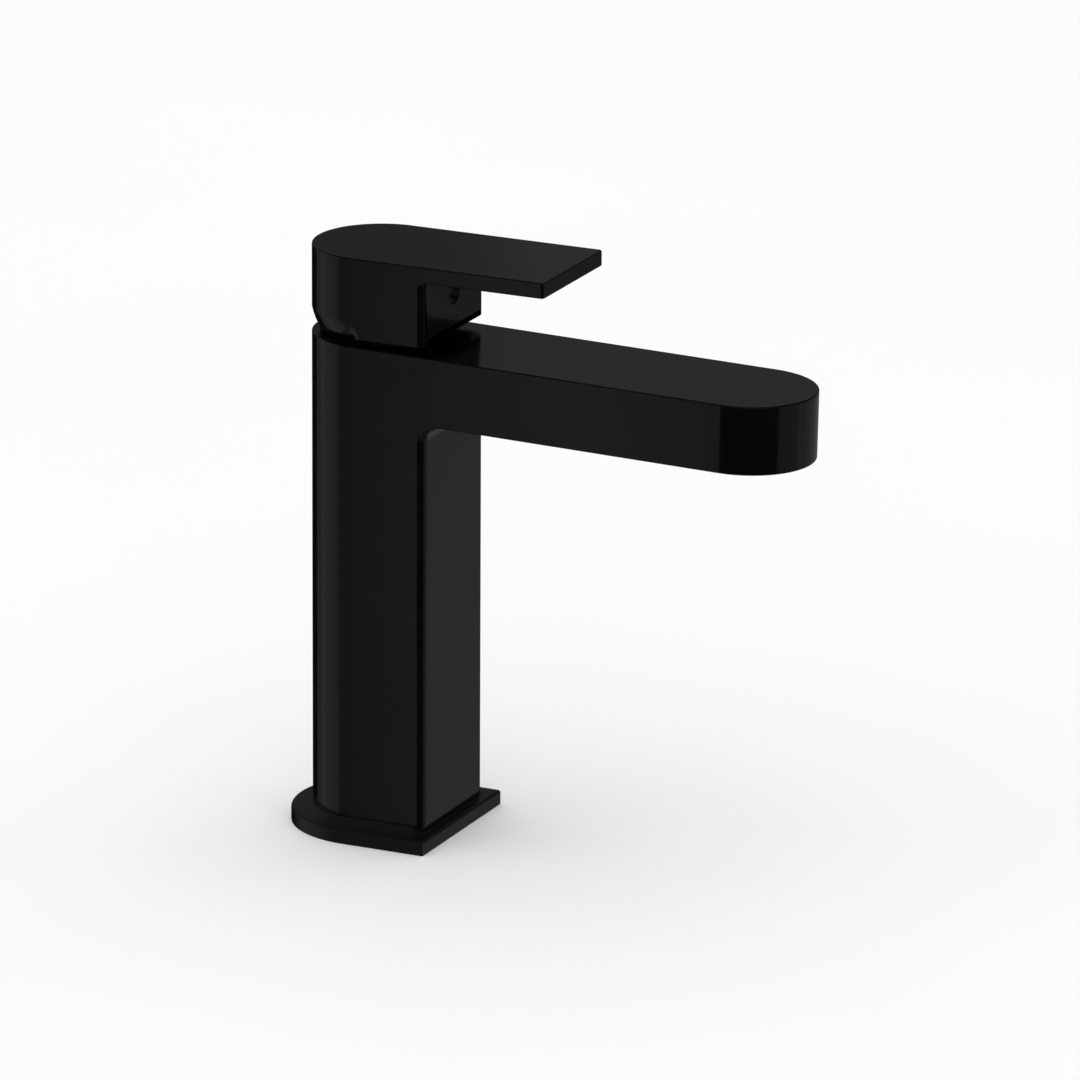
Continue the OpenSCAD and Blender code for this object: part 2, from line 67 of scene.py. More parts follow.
# A material and the one way that its nodes are added
class Finish:
    def __init__(self, name, owner=None):
        self.material = owner or bpy.data.materials.new(name)
        self.material.use_nodes = True
        self.tree = self.material.node_tree
        self.tree.nodes.clear()

    def node(self, kind, settings=None, sockets=None, out=0):
        made = self.tree.nodes.new("ShaderNode" + kind)
        for key, value in (settings or {}).items():
            if key == "stops":  # a ramp's stops, each a place and a grey
                ramp = made.color_ramp
                while len(ramp.elements) < len(value):
                    ramp.elements.new(0.5)
                for element, (place, grey) in zip(ramp.elements, value):
                    element.position, element.color = place, (grey, grey, grey, 1)
            else:
                setattr(made, key, value)
        for key, value in (sockets or {}).items():
            live = [s for s in made.inputs if s.enabled]
            socket = live[key] if isinstance(key, int) else next(s for s in live if s.name == key)
            if isinstance(value, Field):
                self.tree.links.new(value.socket, socket)
            elif socket.type == "RGBA":
                socket.default_value = (*value, 1)
            else:
                socket.default_value = value
        live = [s for s in made.outputs if s.enabled]
        if not live:
            return None
        return Field(self, live[out] if isinstance(out, int) else next(s for s in live if s.name == out))

    def place(self):
        return self.node("TexCoord", out="Object")

    def part(self, axis):
        return self.node("SeparateXYZ", None, {"Vector": self.place()}, axis)

    def noise(self, size, detail=2.0, stretch=None):  # size of its spots in millimetres
        where = self.place()
        if stretch:
            where = self.node("Mapping", None, {"Vector": where, "Scale": stretch})
        return self.node("TexNoise", None, {"Vector": where, "Scale": 1 / (size * mm), "Detail": detail})

    def ramp(self, field, stops):
        return self.node("ValToRGB", {"stops": stops}, {"Fac": field})

    def blend(self, field, a, b):
        return self.node("Mix", {"data_type": "RGBA"}, {"Factor": field, "A": a, "B": b})

    def bump(self, field, depth):  # depth in millimetres
        return self.node("Bump", None, {"Height": field, "Distance": depth * mm})

    def shade(self, colour, roughness, normal=None, **fixed):
        sockets = {"Base Color": colour, "Roughness": roughness}
        if normal:
            sockets["Normal"] = normal
        names = {"metallic": "Metallic", "ior": "IOR"}
        sockets.update({names[key]: value for key, value in fixed.items()})
        shader = self.node("BsdfPrincipled", None, sockets)
        self.node("OutputMaterial", None, {"Surface": shader})
        return self.material


# The black coating: its tones, gloss and the size of its marks in millimetres
coating = {"deep": (0.0011, 0.0011, 0.0012), "pale": (0.0021, 0.0021, 0.0022), "roughness": 0.14,
           "cloud": 11.0, "peel": 0.55, "peelDepth": 0.0022, "grain": 0.12}


def blackCoating(name, roughness=None, paintedSheen=False):
    f = Finish(name)
    cloud = f.noise(coating["cloud"], 3.0)
    peel = f.noise(coating["peel"], 2.0)
    grain = f.noise(coating["grain"], 1.0)
    speck = f.ramp(f.noise(0.8, 1.0), [(0.0, 0.0), (0.71, 0.0), (0.78, 1.0)])  # dust under the lacquer
    colour = f.blend(cloud, coating["deep"], coating["pale"])
    colour = f.blend(speck * 0.25, colour, (0.006, 0.006, 0.0064))
    if paintedSheen:  # painted sheen: the sloped top is painted lighter, less towards the front
        height, out = f.part("Z"), f.part("X")
        sheenMask = f.ramp(height * 100, [(0.0, 0.0), (0.40, 0.0), (0.47, 1.0)])
        clear = f.ramp(out * 30, [(0.0, 1.0), (0.55, 1.0), (0.72, 0.35)])
        # painted sheen: a lighter tone mixed into the colour of the sloped top
        colour = f.blend(sheenMask * clear * (0.75 + cloud * 0.5), colour, (0.0095, 0.0095, 0.0098))
    rough = (roughness or coating["roughness"]) + (cloud - 0.5) * 0.05 + (grain - 0.5) * 0.04 + speck * 0.08
    return f.shade(colour, rough, f.bump(peel * 0.8 + grain * 0.2, coating["peelDepth"]), ior=1.5)


def mouldedPlastic(name, deep, pale, roughness, depth=0.006):
    f = Finish(name)
    cloud, grain = f.noise(6.0, 3.0), f.noise(0.18, 2.0)
    flow = f.noise(1.4, 2.0, (1.0, 1.0, 0.15))  # flow marks along the height
    colour = f.blend(cloud * 0.7 + flow * 0.3, deep, pale)
    rough = roughness + (cloud - 0.5) * 0.12 + (grain - 0.5) * 0.1
    return f.shade(colour, rough, f.bump(grain + flow * 0.5, depth), ior=1.46)


def mouldedRubber(name):
    f = Finish(name)
    grain, cloud = f.noise(0.22, 3.0), f.noise(4.0, 3.0)
    bloom = f.ramp(f.noise(2.2, 4.0), [(0.0, 0.0), (0.52, 0.0), (0.75, 1.0)])  # pale bloom in patches
    colour = f.blend(cloud, (0.010, 0.010, 0.011), (0.019, 0.019, 0.020))
    colour = f.blend(bloom * 0.4, colour, (0.045, 0.044, 0.043))
    rough = 0.62 + (grain - 0.5) * 0.16 + bloom * 0.12
    return f.shade(colour, rough, f.bump(grain, 0.02), ior=1.5)


def lappedCeramic(name):
    f = Finish(name)
    cloud, pores = f.noise(3.0, 3.0), f.ramp(f.noise(0.25, 2.0), [(0.0, 0.0), (0.66, 0.0), (0.74, 1.0)])
    colour = f.blend(cloud, (0.78, 0.77, 0.74), (0.86, 0.85, 0.82))
    colour = f.blend(pores * 0.35, colour, (0.52, 0.51, 0.49))
    return f.shade(colour, 0.22 + (cloud - 0.5) * 0.1 + pores * 0.2, f.bump(pores, -0.004), ior=1.7)


def turnedMetal(name, deep, pale, roughness, centre=(0.0, 0.0), pitch=0.16):  # rings about a centre
    f = Finish(name)
    shift = (-centre[0] * mm, -centre[1] * mm, 0.0)
    where = f.node("Mapping", None, {"Vector": f.place(), "Location": shift})
    flat = f.node("VectorMath", {"operation": "MULTIPLY"}, {0: where, 1: (1.0, 1.0, 0.0)})
    radius = f.node("VectorMath", {"operation": "LENGTH"}, {0: flat})
    height = f.node("SeparateXYZ", None, {"Vector": where}, out="Z")
    rings = f.node("TexNoise", {"noise_dimensions": "1D"},
                   {"W": (radius + height * 1.3) * (1 / (pitch * mm)), "Detail": 3.0})
    stain = f.ramp(f.noise(5.0, 4.0), [(0.0, 0.0), (0.4, 0.0), (0.72, 1.0)])
    colour = f.blend(rings * 0.5 + stain * 0.5, pale, deep)
    rough = roughness + (rings - 0.5) * 0.22 + stain * 0.08
    return f.shade(colour, rough, f.bump(rings, 0.004), metallic=1.0)


def brushedSteel(name, along=(0.02, 1.0, 1.0)):
    f = Finish(name)
    lines = f.noise(0.09, 3.0, along)
    scuff = f.ramp(f.noise(4.0, 4.0), [(0.0, 0.0), (0.45, 0.0), (0.7, 1.0)])
    colour = f.blend(lines, (0.42, 0.42, 0.43), (0.60, 0.60, 0.61))
    colour = f.blend(scuff * 0.25, colour, (0.36, 0.35, 0.34))
    return f.shade(colour, 0.28 + (lines - 0.5) * 0.3 + scuff * 0.1, f.bump(lines, 0.003), metallic=1.0)


def platedChrome(name):
    f = Finish(name)
    haze, spots = f.noise(3.0, 3.0), f.ramp(f.noise(0.9, 2.0), [(0.0, 0.0), (0.62, 0.0), (0.7, 1.0)])
    colour = f.blend(spots * 0.4 + haze * 0.2, (0.72, 0.72, 0.73), (0.55, 0.56, 0.55))
    return f.shade(colour, 0.07 + (haze - 0.5) * 0.05 + spots * 0.16, f.bump(spots, 0.003), metallic=1.0)


castFinish = blackCoating("coatedCasting")
# the flange's coating has painted sheen on its sloped top
flangeFinish = blackCoating("coatedFlange", 0.3, True)
handleFinish = blackCoating("coatedHandle")
plugFinish = mouldedPlastic("plugPlastic", (0.0035, 0.0035, 0.0037), (0.007, 0.007, 0.0075), 0.3, 0.003)
rubberFinish = mouldedRubber("sealRubber")
brassDeep, brassPale = (0.42, 0.27, 0.10), (0.66, 0.48, 0.22)
cadFinishes = {
    "base_gasket": rubberFinish, "hot_port_seal": rubberFinish, "cold_port_seal": rubberFinish,
    "outlet_port_seal": rubberFinish, "turret_o_ring": rubberFinish, "clamp_seal": rubberFinish,
    "aerator_washer": mouldedRubber("washerRubber"),
    "cartridge_base": mouldedPlastic("basePlastic", (0.62, 0.61, 0.57), (0.74, 0.73, 0.69), 0.38),
    "cartridge_housing": mouldedPlastic("housingPlastic", (0.66, 0.65, 0.61), (0.78, 0.77, 0.73), 0.34),
    "disc_carrier": mouldedPlastic("carrierPlastic", (0.12, 0.13, 0.15), (0.19, 0.20, 0.22), 0.4),
    "swivel_turret": mouldedPlastic("turretPlastic", (0.012, 0.012, 0.013), (0.022, 0.022, 0.024), 0.4),
    "aerator_core": mouldedPlastic("corePlastic", (0.22, 0.23, 0.24), (0.33, 0.34, 0.35), 0.42),
    "fixed_disc": lappedCeramic("fixedCeramic"), "moving_disc": lappedCeramic("movingCeramic"),
    "lever_spindle": turnedMetal("spindleBrass", brassDeep, brassPale, 0.3),
    "cartridge_nut": turnedMetal("nutBrass", brassDeep, brassPale, 0.32),
    "spindle_pin": brushedSteel("pinSteel", (1.0, 0.02, 1.0)),
    "nut_cover_ring": turnedMetal("coverSteel", (0.012, 0.012, 0.013), (0.02, 0.02, 0.021), 0.5, pitch=0.12),
    "grub_screw": brushedSteel("screwSteel", (0.02, 1.0, 1.0)),
    "aerator_screen": brushedSteel("screenSteel"),
    "clamp_plate": brushedSteel("plateSteel", (1.0, 0.02, 1.0)),
    "aerator_shell": platedChrome("shellChrome")}
for name, finish in cadFinishes.items():
    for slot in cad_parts[name].material_slots:
        slot.material = finish
print("finishes done")


# Meshes are made in millimetres and shrunk to metres when they become an object
def drum(bm, radius, low, high, x=0.0, y=0.0, segments=72, turn=None):
    place = Matrix.Translation((x, y, (low + high) / 2))
    bmesh.ops.create_cone(bm, cap_ends=True, segments=segments, radius1=radius, radius2=radius,
                          depth=high - low, matrix=(turn or Matrix()) @ place)


def block(bm, low, high):
    size, middle = Vector(high) - Vector(low), (Vector(high) + Vector(low)) / 2
    place = Matrix.Translation(middle) @ Matrix.Diagonal((*size, 1))
    bmesh.ops.create_cube(bm, size=1.0, matrix=place)


def cutAt(bm, point, normal):
    bmesh.ops.bisect_plane(bm, geom=bm.verts[:] + bm.edges[:] + bm.faces[:], dist=1e-5,
                           plane_co=point, plane_no=normal)


def tidy(bm, angle=0.5):
    bmesh.ops.dissolve_limit(bm, angle_limit=math.radians(angle), verts=bm.verts[:], edges=bm.edges[:])


def edgesAt(bm, test):  # the edges whose two ends both pass
    return [e for e in bm.edges if all(test(v.co) for v in e.verts)]


def faceAt(bm, test):  # the largest face that passes
    return max((f for f in bm.faces if test(f)), key=lambda f: f.calc_area())


def isUpright(edge):
    a, b = edge.verts[0].co, edge.verts[1].co
    return near(a.x, b.x) and near(a.y, b.y)


def uprightEdges(bm, test):
    return [e for e in bm.edges if isUpright(e) and test(e.verts[0].co)]


def pullFace(bm, face):  # draws a face out on new sides and returns its new points
    made = bmesh.ops.extrude_face_region(bm, geom=[face])["geom"]
    if face.is_valid:
        bmesh.ops.delete(bm, geom=[face], context="FACES_ONLY")
    return [g for g in made if isinstance(g, bmesh.types.BMVert)]


def roundEdges(bm, edges, radius, segments):
    bmesh.ops.bevel(bm, geom=edges, offset=radius, offset_type="OFFSET", affect="EDGES",
                    segments=segments, profile=0.5, material=-1, clamp_overlap=False)


def near(a, b, gap=0.02):
    return abs(a - b) < gap


def spun(bm, points, axis=(0, 0, 1), centre=(0, 0, 0), segments=64):
    verts = [bm.verts.new(p) for p in points]
    edges = [bm.edges.new(pair) for pair in zip(verts, verts[1:])]
    bmesh.ops.spin(bm, geom=verts + edges, cent=centre, axis=axis, dvec=(0, 0, 0), angle=2 * math.pi,
                   steps=segments, use_merge=True)
    bmesh.ops.remove_doubles(bm, verts=bm.verts[:], dist=1e-4)
    bmesh.ops.recalc_face_normals(bm, faces=bm.faces[:])


def slotted(bm, points, z, drop):  # turned about X at this height, then drawn out downwards
    spun(bm, points, axis=(1, 0, 0), centre=(0, 0, z), segments=48)
    cutAt(bm, (0, 0, z - 0.01), (0, 0, 1))
    cutAt(bm, (0, 0, z - 0.03), (0, 0, 1))
    bmesh.ops.translate(bm, vec=(0, 0, -drop), verts=[v for v in bm.verts if v.co.z < z - 0.02])


def asObject(name, bm, finish=None):
    bmesh.ops.scale(bm, vec=(mm, mm, mm), verts=bm.verts[:])
    bmesh.ops.recalc_face_normals(bm, faces=bm.faces[:])
    mesh = bpy.data.meshes.new(name)
    bm.to_mesh(mesh)
    bm.free()
    obj = bpy.data.objects.new(name, mesh)
    scene.collection.objects.link(obj)
    if finish:
        mesh.materials.append(finish)
    return obj


def settle(obj):  # its modifiers go into its mesh
    done = bpy.data.meshes.new_from_object(obj.evaluated_get(bpy.context.evaluated_depsgraph_get()))
    old, obj.data = obj.data, done
    obj.modifiers.clear()
    bpy.data.meshes.remove(old)


def carve(obj, shapes, operation="DIFFERENCE"):
    for bm in shapes:
        cutter = asObject("cutter", bm)
        step = obj.modifiers.new("carve", "BOOLEAN")
        step.operation, step.solver, step.object = operation, "EXACT", cutter
        settle(obj)
        mesh = cutter.data
        bpy.data.objects.remove(cutter)
        bpy.data.meshes.remove(mesh)


def shape(maker, *sizes, **more):
    bm = bmesh.new()
    maker(bm, *sizes, **more)
    return bm


def heal(obj):  # merges what the cuts left apart and fills pin holes
    bm = bmesh.new()
    bm.from_mesh(obj.data)
    bmesh.ops.remove_doubles(bm, verts=bm.verts[:], dist=0.002 * mm)
    bmesh.ops.dissolve_degenerate(bm, edges=bm.edges[:], dist=0.001 * mm)
    bmesh.ops.holes_fill(bm, edges=[e for e in bm.edges if len(e.link_faces) == 1], sides=12)
    bm.to_mesh(obj.data)
    bm.free()


def softenByWeight(obj, width, segments):
    step = obj.modifiers.new("edges", "BEVEL")
    step.limit_method, step.width, step.segments, step.profile = "WEIGHT", width * mm, segments, 0.5
    step.miter_outer, step.use_clamp_overlap, step.loop_slide = "MITER_SHARP", False, False
    settle(obj)


def setNormals(obj, angle=32.0):
    mesh = obj.data
    mesh.shade_smooth()
    mesh.set_sharp_from_angle(angle=math.radians(angle))
    step = obj.modifiers.new("normals", "WEIGHTED_NORMAL")
    step.keep_sharp, step.weight, step.mode = True, 60, "FACE_AREA"
    settle(obj)


def handOver(obj, body, slot, *nodes):
    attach(obj, body)
    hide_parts(*nodes)
    print(obj.name, len(obj.data.vertices), "points")


crease = math.radians(35)  # an edge sharper than this gets rounded
arcRow = 0.03  # points closer than this are merged after the great rounds are made


def creases(bm):  # each sharp edge, its middle's x and z, and whether it lies on a flat side
    for e in bm.edges:
        if len(e.link_faces) > 1 and e.calc_face_angle() >= crease:
            a, b = e.verts[0].co, e.verts[1].co
            side = near(abs(a.y), cast["halfW"]) and near(abs(b.y), cast["halfW"])
            yield e, (a.x + b.x) / 2, (a.z + b.z) / 2, side


def alongArc(x, down):  # how far along the arc under a corner, from 0 below it to 1 in front of it
    return min(1.0, max(0.0, math.atan2(x - cast["frontX"], down + 1e-6) / (math.pi / 2)))


# Column and spout in one casting
cast = {"halfW": 20.0, "frontX": 23.0, "rimZ": 147.5, "fall": 1.16, "spoutT": 20.2, "tipX": 134.97,
        "footZ": 2.0, "edgeR": 2.3, "rootR": 5.5, "arcSteps": 28, "topEdge": 0.45, "lowEdge": 0.5,
        "recessR": 17.28, "recessZ": 140.67, "recessTop": 152.0, "mouth": (0.45, 0.55), "nutR": 14.0,
        "nutZ": 132.57, "boreR": 12.6, "seatZ": 108.37, "chamberTop": 42.0, "wall": 3.2, "outletR": 10.75,
        "outletH": 11.0}
# Its ducts: radius, x and y of each, and the heights where they end
ducts = {"inlet": (5.0, -4.0, 8.2), "inletTop": 54.0, "supply": (2.8, -4.03, 6.21), "supplyLow": 52.0,
         "stud": (4.0, 10.5, 0.0), "studTop": 58.0, "outflow": (3.1, 6.0, 0.0), "riser": (3.1, 18.2, 0.0),
         "outflowLow": 98.3, "cross": (2.6, 101.4), "feed": (2.6, -12.6, 9.0)}


def castingShell():
    c = cast
    low = c["rimZ"] - c["spoutT"]
    bm = bmesh.new()
    block(bm, (-c["halfW"], -c["halfW"], low), (c["tipX"], c["halfW"], c["rimZ"]))
    cutAt(bm, (c["frontX"], 0, 0), (1, 0, 0))
    under = faceAt(bm, lambda f: f.normal.z < -0.9 and f.calc_center_median().x < c["frontX"])
    bmesh.ops.translate(bm, vec=(0, 0, c["footZ"] - low), verts=pullFace(bm, under))
    tidy(bm)
    ends = uprightEdges(bm, lambda p: near(p.x, -c["halfW"]) or near(p.x, c["tipX"]))
    roundEdges(bm, ends, c["halfW"] - 0.01, c["arcSteps"])
    root = edgesAt(bm, lambda p: near(p.x, c["frontX"]) and near(p.z, low))
    roundEdges(bm, root, c["rootR"], 12)
    bmesh.ops.remove_doubles(bm, verts=bm.verts[:], dist=arcRow)
    weight = bm.edges.layers.float.new("bevel_weight_edge")
    for e, x, z, side in creases(bm):
        if min(v.co.z for v in e.verts) > c["rimZ"] - 1:
            e[weight] = c["topEdge"] / c["edgeR"]
        elif side and near(e.verts[0].co.x, e.verts[1].co.x) and z < low - c["rootR"] + 0.5:
            e[weight] = 1.0
        elif side and x < c["frontX"] + c["rootR"] + 0.01 and z > low - c["rootR"] - 0.1:
            e[weight] = 1.0 + (c["lowEdge"] / c["edgeR"] - 1.0) * alongArc(x, low - z)
        elif z > c["footZ"] + 1:
            e[weight] = c["lowEdge"] / c["edgeR"]
    slope = math.tan(math.radians(c["fall"]))
    for v in bm.verts:  # the spout falls towards its tip, and its end stays square to it
        if v.co.z > c["footZ"] + 60 and v.co.x > -c["halfW"] - 1 and v.co.z > low - c["rootR"] - 0.01:
            down = (c["rimZ"] - v.co.z) / c["spoutT"]
            share = min(1.0, max(0.0, (v.co.x - 30) / 60))
            if near(v.co.z, c["rimZ"]) or v.co.x > c["frontX"] + 0.001:
                v.co.z -= v.co.x * slope
            v.co.x -= down * share * c["spoutT"] * slope
    return bm


def lying(x, y, z):  # turns an upright shape to run along +X from a point
    return Matrix.Translation((x, y, z)) @ Matrix.Rotation(math.pi / 2, 4, "Y")


def dPrism(bm, low, high, inset=0.0, corner=2.3):
    r = cast["halfW"] - inset
    block(bm, (-r, -r, low), (cast["frontX"] - inset, r, high))
    roundEdges(bm, uprightEdges(bm, lambda p: p.x < 0), r - 0.005, 28)
    front = [e for e in bm.edges if all(near(v.co.x, cast["frontX"] - inset) for v in e.verts)
             and near(e.verts[0].co.y, e.verts[1].co.y)]
    roundEdges(bm, front, max(corner - inset, 0.3), 5)
    bmesh.ops.remove_doubles(bm, verts=bm.verts[:], dist=0.012)


def makeCasting():
    c = cast
    obj = asObject("castBody", castingShell(), castFinish)
    softenByWeight(obj, c["edgeR"], 5)
    tilt = Matrix.Translation((0, 0, c["rimZ"])) @ Matrix.Rotation(math.radians(c["fall"]), 4, "Y")
    outlet = c["tipX"] - c["halfW"]

    def spoutRoom(bm):
        block(bm, (c["frontX"] + 2, -c["halfW"] + c["wall"], -c["spoutT"] + c["wall"]),
              (outlet + c["halfW"] - c["wall"], c["halfW"] - c["wall"], -c["wall"]))
        roundEdges(bm, uprightEdges(bm, lambda p: p.x > outlet), c["halfW"] - c["wall"] - 0.01, 16)
        bmesh.ops.remove_doubles(bm, verts=bm.verts[:], dist=arcRow)
        bmesh.ops.transform(bm, matrix=tilt, verts=bm.verts[:])

    d, over = ducts, 0.5  # cuts run on this far into the next room
    room, (lip, lipDeep) = c["recessR"], c["mouth"]
    recess = [(0, c["recessZ"]), (room, c["recessZ"]), (room, c["rimZ"] - lipDeep), (room + lip, c["rimZ"]),
              (room + lip, c["recessTop"]), (0, c["recessTop"])]
    cutters = [shape(spun, [(x, 0, z) for x, z in recess], segments=96),
               shape(drum, c["nutR"], c["nutZ"], c["recessZ"] + 1),
               shape(drum, c["boreR"], c["seatZ"], c["nutZ"] + 1),
               shape(dPrism, c["footZ"] - 1, c["chamberTop"], c["wall"])]
    for (r, x, y), low, high, segments in (
            (d["inlet"], c["chamberTop"] - over, d["inletTop"], 48),
            (d["supply"], d["supplyLow"], c["seatZ"] + over, 32)):
        cutters += [shape(drum, r, low, high, x, side * y, segments=segments) for side in (1, -1)]
    for (r, x, y), low, high, segments in (
            (d["stud"], c["chamberTop"] - over, d["studTop"], 48),
            (d["outflow"], d["outflowLow"], c["seatZ"] + over, 32),
            (d["riser"], d["outflowLow"], c["rimZ"] - c["spoutT"] / 2, 32)):
        cutters.append(shape(drum, r, low, high, x, y, segments=segments))
    crossR, crossZ = d["cross"]
    feedR, feedDown, feedLong = d["feed"]
    riserX = d["riser"][1]
    cutters += [
        shape(drum, crossR, 0, riserX - d["outflow"][1], segments=32, turn=lying(d["outflow"][1], 0, crossZ)),
        shape(spoutRoom),
        shape(drum, feedR, 0, feedLong, segments=32, turn=tilt @ lying(riserX, 0, feedDown)),
        shape(drum, c["outletR"], -c["spoutT"] - over, -c["spoutT"] + c["outletH"], segments=72,
              turn=tilt @ Matrix.Translation((outlet, 0, 0)))]
    carve(obj, cutters)
    setNormals(obj)
    handOver(obj, "faucet_body", "black_finish", "body_casting")


makeCasting()
print("casting done")


# The flange that stands on the deck
flange = {"reachOut": 26.29, "frontX": 25.8, "sideH": 3.5, "shoulder": (0.75, 0.95), "topH": 6.0,
          "topIn": 6.3, "dip": 0.22}


def makeFlange():
    g = flange
    bm = bmesh.new()
    r, front = g["reachOut"], g["frontX"]
    block(bm, (-r, -r, 0), (front, r, g["sideH"]))
    roundEdges(bm, uprightEdges(bm, lambda p: p.x < 0), r - 0.005, 32)
    bmesh.ops.remove_doubles(bm, verts=bm.verts[:], dist=0.012)
    inSoFar, z = 0.0, g["sideH"]
    steps = [(g["shoulder"][0] * (1 - math.cos(a)), g["sideH"] + g["shoulder"][1] * math.sin(a))
             for a in (math.pi / 8, math.pi / 4, 3 * math.pi / 8, math.pi / 2)]
    base, rise = steps[-1], g["topH"] - steps[-1][1]
    for i in range(1, 9):  # the sloped top dips a little between its ends
        t = i / 8
        steps.append((base[0] + (g["topIn"] - base[0]) * t, base[1] + rise * t - g["dip"] * 4 * t * (1 - t)))
    for newIn, newZ in steps:
        top = faceAt(bm, lambda f: f.normal.z > 0.9 or f.calc_center_median().z > z - 1e-4)
        ratio = (r - newIn) / (r - inSoFar)
        for v in pullFace(bm, top):
            v.co.y *= ratio
            v.co.x = v.co.x * ratio if v.co.x < 1 else (front - newIn if v.co.x > 5 else v.co.x)
            v.co.z = newZ
        bm.normal_update()
        inSoFar, z = newIn, newZ
    obj = asObject("deckFlange", bm, flangeFinish)
    carve(obj, [shape(dPrism, 2.0, 20.0, -0.06), shape(dPrism, -1.0, 3.0, cast["wall"])])
    step = obj.modifiers.new("corners", "BEVEL")
    step.limit_method, step.angle_limit, step.width, step.segments = "ANGLE", math.radians(60), 0.35 * mm, 3
    settle(obj)
    setNormals(obj, 40)
    handOver(obj, "faucet_body", "black_finish", "base_flange")


makeFlange()
print("flange done")


# The handle: block, flat lever and round skirt
grip = {"lowZ": 149.7, "topZ": 173.7, "leverT": 4.7, "leverX": 60.4, "liftZ": 159.103, "skirtR": 20.4,
        "skirtZ": 147.4, "edgeR": 2.3, "fine": 0.45, "root": 1.0, "wall": 2.2, "coreZ": 170.5, "bossR": 9.2,
        "bossZ": 162.4, "socket": 7.1, "socketTop": 168.7, "screwR": 2.5, "screwZ": 165.6, "bossW": 9.0,
        "holeDeep": 8.0, "plugR": 3.2, "plugDrop": 4.3, "mouthR": 0.5, "fade": (-1.0, 2.6), "fadeRows": 9,
        "skirtRows": 10, "cornerR": 1.0}


def skirtRadius(z):
    return math.sqrt(max(grip["skirtR"] ** 2 - (grip["liftZ"] - z) ** 2, 0.0))


def handleShell():
    g, c = grip, cast
    under = g["topZ"] - g["leverT"]
    bm = bmesh.new()
    block(bm, (-c["halfW"], -c["halfW"], under), (g["leverX"], c["halfW"], g["topZ"]))
    cutAt(bm, (c["frontX"], 0, 0), (1, 0, 0))
    low = faceAt(bm, lambda f: f.normal.z < -0.9 and f.calc_center_median().x < c["frontX"])
    bmesh.ops.translate(bm, vec=(0, 0, g["lowZ"] - under), verts=pullFace(bm, low))
    tidy(bm)
    roundEdges(bm, uprightEdges(bm, lambda p: near(p.x, -c["halfW"])), c["halfW"] - 0.01, c["arcSteps"])
    root = edgesAt(bm, lambda p: near(p.x, c["frontX"]) and near(p.z, under))
    roundEdges(bm, root, g["root"], 6)
    roundEdges(bm, uprightEdges(bm, lambda p: near(p.x, g["leverX"])), g["cornerR"], 5)
    bmesh.ops.remove_doubles(bm, verts=bm.verts[:], dist=arcRow)
    start, end = g["fade"]
    for i in range(g["fadeRows"]):
        cutAt(bm, (start + (end - start) * i / (g["fadeRows"] - 1), 0, 0), (1, 0, 0))
    upTo = g["liftZ"] - math.sqrt(g["skirtR"] ** 2 - c["halfW"] ** 2)  # where the ball meets the upright side
    for i in range(g["skirtRows"]):
        cutAt(bm, (0, 0, g["lowZ"] + (upTo - g["lowZ"]) * (i + 1) / g["skirtRows"]), (0, 0, 1))
    weight = bm.edges.layers.float.new("bevel_weight_edge")
    fine = g["fine"] / g["edgeR"]
    for e, x, z, side in creases(bm):
        if side and all(near(v.co.x, c["frontX"]) for v in e.verts) and z < under - g["root"]:
            e[weight] = 1.0
        elif side and -0.1 < x - c["frontX"] < g["root"] + 0.01 and -0.1 < under - z < g["root"] + 0.1:
            e[weight] = 1.0 + (fine - 1.0) * alongArc(x, under - z)
        else:
            e[weight] = fine
    for v in bm.verts:
        if v.co.z > upTo + 0.001 or v.co.x > end:
            continue
        t = min(1.0, max(0.0, (v.co.x - start) / (end - start)))
        t = 1 - t * t * (3 - 2 * t)
        down = (upTo - v.co.z) / (upTo - g["lowZ"])
        v.co.z = upTo - down * (upTo - g["lowZ"] + t * (g["lowZ"] - g["skirtZ"]))
        ratio = 1 + t * (min(c["halfW"], skirtRadius(v.co.z)) / c["halfW"] - 1)
        v.co.y *= ratio
        if v.co.x < 0:
            v.co.x *= ratio
    return bm


def makeHandle():
    g, c = grip, cast
    obj = asObject("handleLever", handleShell(), handleFinish)
    softenByWeight(obj, g["edgeR"], 5)
    core = asObject("core", shape(dPrism, g["skirtZ"] - 1, g["coreZ"], g["wall"]))

    def ballRoom(bm):  # the room inside the skirt's ball below the lift axis, open in front and above
        bmesh.ops.create_uvsphere(bm, u_segments=96, v_segments=64, radius=g["skirtR"] - g["wall"],
                                  matrix=Matrix.Translation((0, 0, g["liftZ"])))

    def behind(bm):
        block(bm, (-40, -40, g["skirtZ"] - 5), (0, 40, g["liftZ"]))

    trim = asObject("trim", shape(behind))
    carve(trim, [shape(ballRoom)])
    step = core.modifiers.new("trim", "BOOLEAN")
    step.operation, step.solver, step.object = "DIFFERENCE", "EXACT", trim
    settle(core)
    above, halfBoss, x, z = g["topZ"] + 1.3, g["bossW"] / 2, c["frontX"], g["screwZ"]
    carve(core, [shape(drum, g["bossR"], g["bossZ"], above),
                 shape(block, (g["bossR"] - 0.4, -halfBoss, z - halfBoss), (40, halfBoss, above))])
    step = obj.modifiers.new("core", "BOOLEAN")
    step.operation, step.solver, step.object = "DIFFERENCE", "EXACT", core
    settle(obj)
    for spare in (core, trim):
        bpy.data.objects.remove(spare)
    half, lip = g["socket"] / 2, g["mouthR"]
    hole = [(x - g["holeDeep"], 0), (x - g["holeDeep"], g["plugR"]), (x - lip / 2, g["plugR"]),
            (x + lip / 2, g["plugR"] + lip), (x + lip / 2, 0)]
    carve(obj, [shape(block, (-half, -half, g["bossZ"] - 0.5), (half, half, g["socketTop"]))])
    heal(obj)
    carve(obj, [shape(drum, g["screwR"], 2, x - 3, segments=36, turn=lying(0, 0, z)),
                shape(slotted, [(along, 0, z + r) for along, r in hole], z, g["plugDrop"])])
    heal(obj)
    setNormals(obj)
    handOver(obj, "lever", "black_finish", "handle")


